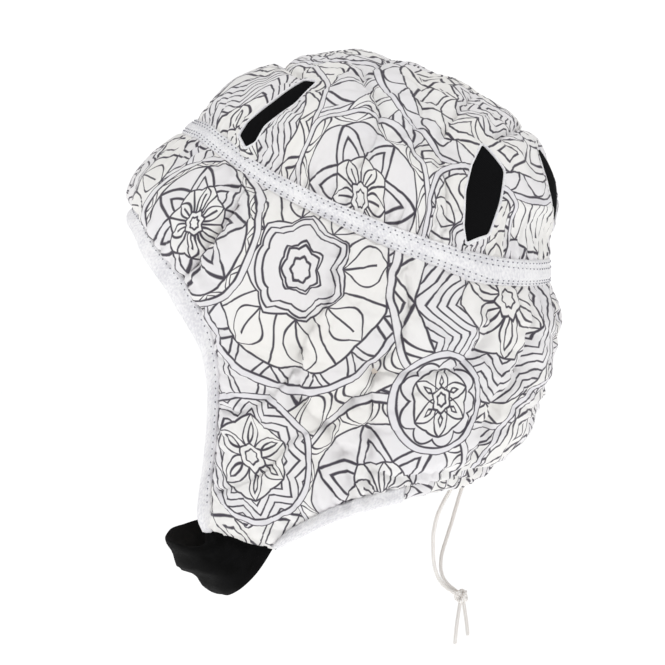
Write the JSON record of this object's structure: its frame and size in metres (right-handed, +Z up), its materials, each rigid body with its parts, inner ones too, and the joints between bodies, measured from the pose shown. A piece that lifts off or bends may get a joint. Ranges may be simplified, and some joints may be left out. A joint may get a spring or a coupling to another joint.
{
  "type": "scrum cap",
  "caption": "Padded rugby headguard with a quilted vented crown, brim band, ear flaps with bound edges, soft chin strap and a knotted nape drawcord.",
  "frame": {"origin": "inside of the crown's top, where the cap sits on a head", "axes": "+Z up, -Y towards the wearer's face, +X towards the wearer's left"},
  "size_m": [0.1688, 0.2091, 0.283],
  "materials": {
    "printed_cloth": "matt stretch cloth over foam, ivory with dark line art",
    "edge_tape": "soft white stitched tape",
    "vent_net": "matt black net",
    "strap_cloth": "matt black brushed stretch cloth",
    "cord_yarn": "off-white woven round cord"
  },
  "bodies": {
    "root": {"crown_front": "printed_cloth", "crown_back": "printed_cloth", "brim_band": "edge_tape", "vent_net_front_left": "vent_net", "vent_net_front_right": "vent_net", "vent_net_back_left": "vent_net", "vent_net_back_right": "vent_net", "vent_net_centre": "vent_net", "forehead_pad": "printed_cloth", "side_panel_left": "printed_cloth", "side_panel_right": "printed_cloth", "face_binding": "edge_tape", "neck_binding_left": "edge_tape", "neck_binding_right": "edge_tape", "drawcord_channel": "printed_cloth", "chin_strap": "strap_cloth", "drawcord_left": "cord_yarn", "drawcord_right": "cord_yarn", "drawcord_knot": "cord_yarn", "drawcord_tail_left": "cord_yarn", "drawcord_tail_right": "cord_yarn"}
  },
  "joints": []
}
